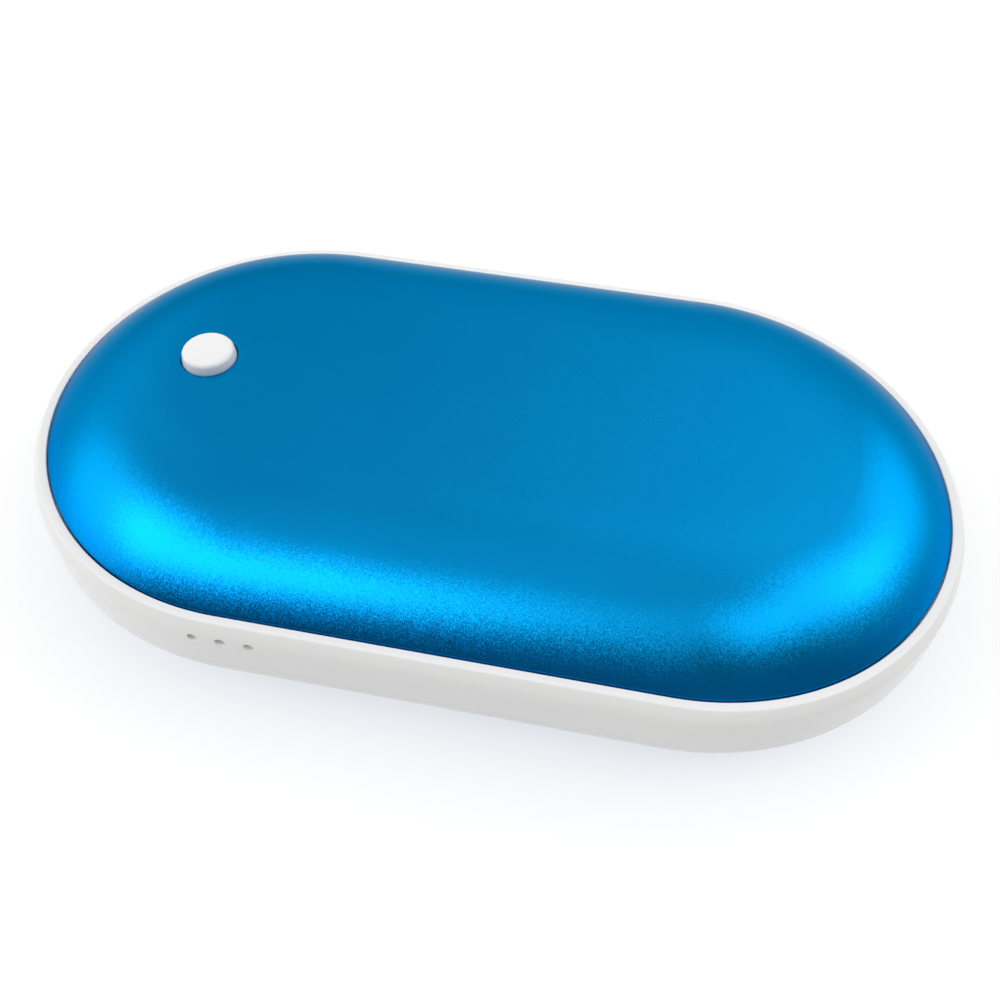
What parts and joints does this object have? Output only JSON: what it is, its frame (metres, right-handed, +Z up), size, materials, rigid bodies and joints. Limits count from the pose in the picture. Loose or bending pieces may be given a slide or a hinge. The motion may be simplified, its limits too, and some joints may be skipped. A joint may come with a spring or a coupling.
{
  "type": "hand warmer",
  "caption": "Rechargeable pocket hand warmer: aluminium heating shells clamped round a plastic band, with a push button, status lights and charging sockets.",
  "frame": {"origin": "middle of the lower shell's flat face, where the warmer rests", "axes": "+X along the warmer, away from the button and sockets; +Y across it, away from the status lights; +Z up, out of the shell with the button"},
  "size_m": [0.1042, 0.06, 0.0224],
  "materials": {
    "blue_aluminium": "satin, sand-blasted and anodised blue",
    "white_plastic": "glossy white",
    "button_plastic": "satin white",
    "black_plastic": "matte black",
    "clear_plastic": "clear, slightly milky",
    "steel": "bright nickel plate",
    "gold": "gold plate",
    "board_green": "green solder mask",
    "cell_foil": "silver foil",
    "amber_film": "amber film",
    "grey_foam": "soft grey foam",
    "seal_rubber": "black glue bead",
    "ferrite": "dark ferrite",
    "red_wire": "red insulation",
    "black_wire": "black insulation",
    "led_white": "pale light package"
  },
  "bodies": {
    "housing": {"top_shell": "blue_aluminium", "bottom_shell": "blue_aluminium", "top_shell_seal": "seal_rubber", "bottom_shell_seal": "seal_rubber", "middle_frame": "white_plastic", "control_board": "board_green", "board_screw_1": "steel", "board_screw_2": "steel", "board_screw_3": "steel", "usb_output_shell": "steel", "usb_output_tongue": "black_plastic", "usb_contact_1": "gold", "usb_contact_2": "gold", "usb_contact_3": "gold", "usb_contact_4": "gold", "charging_socket_shell": "steel", "charging_socket_tongue": "black_plastic", "switch_base": "black_plastic", "switch_dome": "steel", "switch_cover": "steel", "button_retainer": "black_plastic", "light_guide": "clear_plastic", "status_light_1": "led_white", "status_light_2": "led_white", "status_light_3": "led_white", "output_capacitor": "cell_foil", "power_inductor": "ferrite", "charger_chip": "black_plastic", "controller_chip": "black_plastic", "heater_transistor": "black_plastic", "battery_cell": "cell_foil", "battery_guard_board": "board_green", "battery_tab_positive": "cell_foil", "battery_tab_negative": "cell_foil", "battery_wire_positive": "red_wire", "battery_wire_negative": "black_wire", "top_heater": "amber_film", "bottom_heater": "amber_film", "top_foam_pad": "grey_foam", "bottom_foam_pad": "grey_foam", "top_heater_wire_1": "red_wire", "top_heater_wire_2": "black_wire", "bottom_heater_wire_1": "red_wire", "bottom_heater_wire_2": "black_wire", "heat_sensor": "amber_film", "heat_sensor_wire_1": "black_wire", "heat_sensor_wire_2": "black_wire"},
    "button": {"power_button": "button_plastic", "switch_plunger": "black_plastic"}
  },
  "joints": [
    {"name": "button_press", "type": "slide", "parent": "housing", "child": "button", "axis": [0, 0, -1], "range_m": [0, 0.0004], "stiffness_N_per_m": 3000, "deforming": ["switch_dome"]}
  ]
}
